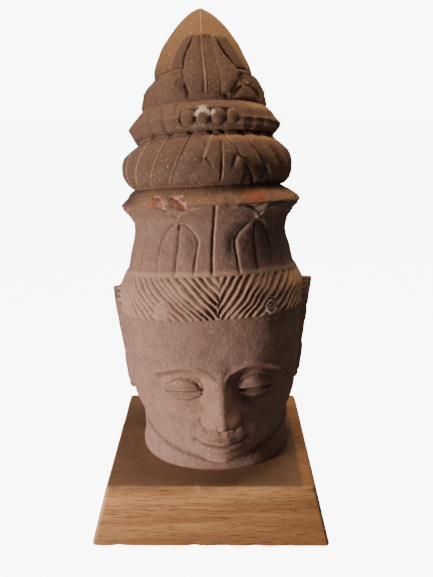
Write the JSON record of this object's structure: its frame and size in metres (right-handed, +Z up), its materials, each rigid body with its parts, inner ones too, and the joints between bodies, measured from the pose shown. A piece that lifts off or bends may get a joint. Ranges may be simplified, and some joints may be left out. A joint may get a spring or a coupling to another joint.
{
  "type": "carved stone head on a wooden stand",
  "caption": "Carved sandstone head with combed hair and a tall tiered lotus crown, fixed upright on a tapered square wooden block.",
  "frame": {"origin": "centre of the wooden stand's underside", "axes": "+Z up along the head's height, the face looks along -Y and a little towards +X, +X is to the viewer's right"},
  "size_m": [0.1754, 0.1756, 0.3815],
  "materials": {
    "sandstone": "weathered, matt, fine grained",
    "walnut": "satin, oiled"
  },
  "bodies": {
    "root": {"stone_head": "sandstone", "wooden_stand": "walnut"}
  },
  "joints": []
}
